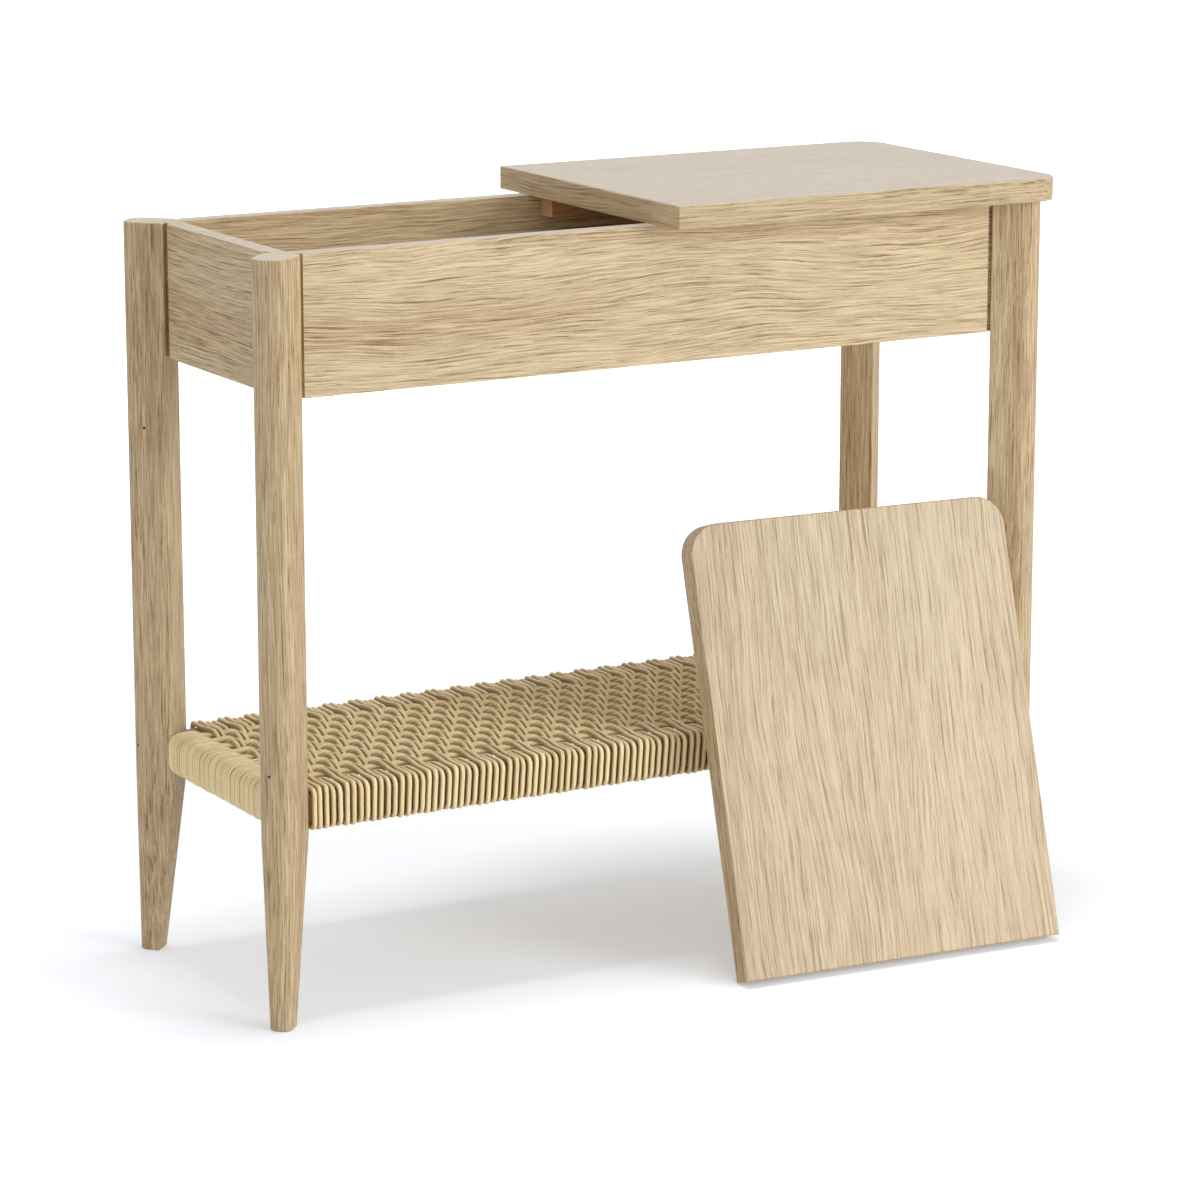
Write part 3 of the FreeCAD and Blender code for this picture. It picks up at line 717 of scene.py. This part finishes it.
def loop_path(side, along, corner, swell=0.0):
    """A cord once round a rail at a place along it."""
    ring = round_rail(corner, swell)
    ring.append((RAIL_INNER + CORD_RADIUS - corner, RAIL_TOP + CORD_RADIUS))
    ring.append((RAIL_INNER + CORD_RADIUS, RAIL_TOP - LOOP_DROP))
    ring.append(ring[0])
    side_x, side_y = SIDES[side]
    points = []
    for inwards, height in ring:
        if side_x:
            points.append(Vector((side_x * (LEG_X - inwards), along, height)))
        else:
            points.append(Vector((along, side_y * (LEG_Y - inwards), height)))
    return smooth_path(points, WEFT_SPACING)


def end_places(front_end, back_end):
    """Where the cords cross an end rail, along Y, evenly with small errors."""
    start, end = -LEG_Y + front_end, LEG_Y - back_end
    return [
        start + (end - start) * index / (END_CORDS - 1) + jitter(LEAN_ERROR)
        for index in range(END_CORDS)
    ]


warps = []
for group in range(GROUPS):
    start = -LEG_X + FAR_END + group * GROUP_PITCH + jitter(PLACE_ERROR)
    slant = SLANT * min(1.0, group / SLANT_GROUPS) + jitter(PLACE_ERROR)
    for index in range(4):
        over = 1 if index < 2 else -1
        drawn = (0.5 if index % 2 == 0 else -0.5) * (CORD_STEP - PAIR_GAP)
        warps.append(varied(warp_path(start + index * CORD_STEP, drawn, over, slant)))
warps.append((loop_path("front", -LEG_X + NEAR_END, LOOP_CORNER), CORD_RADIUS * MM, 0.5))
warps.append((loop_path("back", LEG_X - NEAR_END, LOOP_CORNER), CORD_RADIUS * MM, 0.5))

free = {"left": end_places(FAR_END, NEAR_END), "right": end_places(NEAR_END, FAR_END)}
wefts = []
for row in range(ROWS):
    centre = DECK_EDGE + ROW_PITCH * (row + 0.5) - LEG_Y
    for shift in (-CORD_RADIUS - WEFT_GAP, CORD_RADIUS + WEFT_GAP):
        y = centre + shift
        ends = []
        for places in free.values():
            ends.append(min(places, key=lambda place: abs(place - y)))
            places.remove(ends[-1])
        wefts.append(varied(weft_path(row, y, *ends)))
loops = []
for side, places in free.items():
    for place in places:
        loops.append(varied(loop_path(side, place, END_CORNER, jitter(SWELL_ERROR))))

warp_nodes = ("shelf_front_cord_wrap", "shelf_back_cord_wrap", "shelf_woven_deck")
warp_cord = paper_cord("paper_cord_lengthwise", X, shade_from=0.45)
weft_cord = paper_cord("paper_cord_crosswise", Y, shade_from=0.62)
for name, cords, material, nodes in (
    ("shelf_warp_cords", warps, warp_cord, warp_nodes),
    ("shelf_weft_cords", wefts, weft_cord, ("shelf_left_cord_wrap",)),
    ("shelf_end_wraps", loops, weft_cord, ("shelf_right_cord_wrap",)),
):
    piece = cord_mesh(name, cords)
    piece.data.materials.append(material)
    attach(piece, "table")
    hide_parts(*nodes)

# ---------------------------------------------------------------- light and floor
# the world's light on the object, and the white that the camera and gloss see
WORLD_LIGHT, WORLD_SEEN = 0.6, 1.0
FLOOR_HALF, FLOOR_DROP = 12.0, 0.0005
# the floor's own glow in the middle, and the distances over which it grows to white
FLOOR_GLOW, GLOW_FROM, GLOW_TO = 0.31, 0.5, 2.2
# the seen floor is slightly cool, which evens out the warm light that the oak throws on it
FLOOR_SEEN = (0.76, 0.79, 0.85, 1)
FLOOR_LIT = (0.8, 0.8, 0.8, 1)


def add_area_light(name, place, target, size, power):
    data = bpy.data.lights.new(name, "AREA")
    data.shape = "RECTANGLE"
    data.size = data.size_y = size
    data.energy = power
    lamp = add_object(name, data)
    lamp.location = place
    lamp.rotation_euler = (Vector(target) - Vector(place)).to_track_quat("-Z", "Y").to_euler()


def set_world():
    world = bpy.data.worlds.new("studio")
    bpy.context.scene.world = world
    world.use_nodes = True
    tree = world.node_tree
    background = tree.nodes["Background"]
    background.inputs["Color"].default_value = (1, 1, 1, 1)
    path = tree.nodes.new("ShaderNodeLightPath")
    seen = tree.nodes.new("ShaderNodeMath")
    seen.operation = "MAXIMUM"
    tree.links.new(path.outputs["Is Camera Ray"], seen.inputs[0])
    tree.links.new(path.outputs["Is Glossy Ray"], seen.inputs[1])
    level = tree.nodes.new("ShaderNodeMapRange")
    level.inputs["To Min"].default_value = WORLD_LIGHT
    level.inputs["To Max"].default_value = WORLD_SEEN
    tree.links.new(seen.outputs[0], level.inputs["Value"])
    tree.links.new(level.outputs[0], background.inputs["Strength"])


def add_floor():
    mesh = bpy.data.meshes.new("floor")
    corners = [(x * FLOOR_HALF, y * FLOOR_HALF, 0) for x, y in ((-1, -1), (1, -1), (1, 1), (-1, 1))]
    mesh.from_pydata(corners, [], [(0, 1, 2, 3)])
    floor = add_object("floor", mesh)
    floor.location = (0, 0, -FLOOR_DROP)
    g = Graph("floor")
    g.give("Roughness", 1.0)
    g.give("Specular IOR Level", 0.0)
    g.give("Emission Color", (1, 1, 1, 1))
    seen = g.camera_ray()
    g.give("Base Color", g.mix(seen, FLOOR_LIT, FLOOR_SEEN))
    place = g.place()
    away = g.vector_math("LENGTH", g.combine(g.dot(place, X), g.dot(place, Y), 0.0))
    g.give("Emission Strength", g.times(seen, g.ramp(away, GLOW_FROM, GLOW_TO, FLOOR_GLOW, 1.0)))
    mesh.materials.append(g.material)


set_world()
add_area_light("key", place=(1.5, -2.8, 1.25), target=(0, 0, 0.3), size=1.4, power=42)
add_area_light("top", place=(0, 0, 3.3), target=(0, 0, 0), size=0.7, power=38)
add_floor()
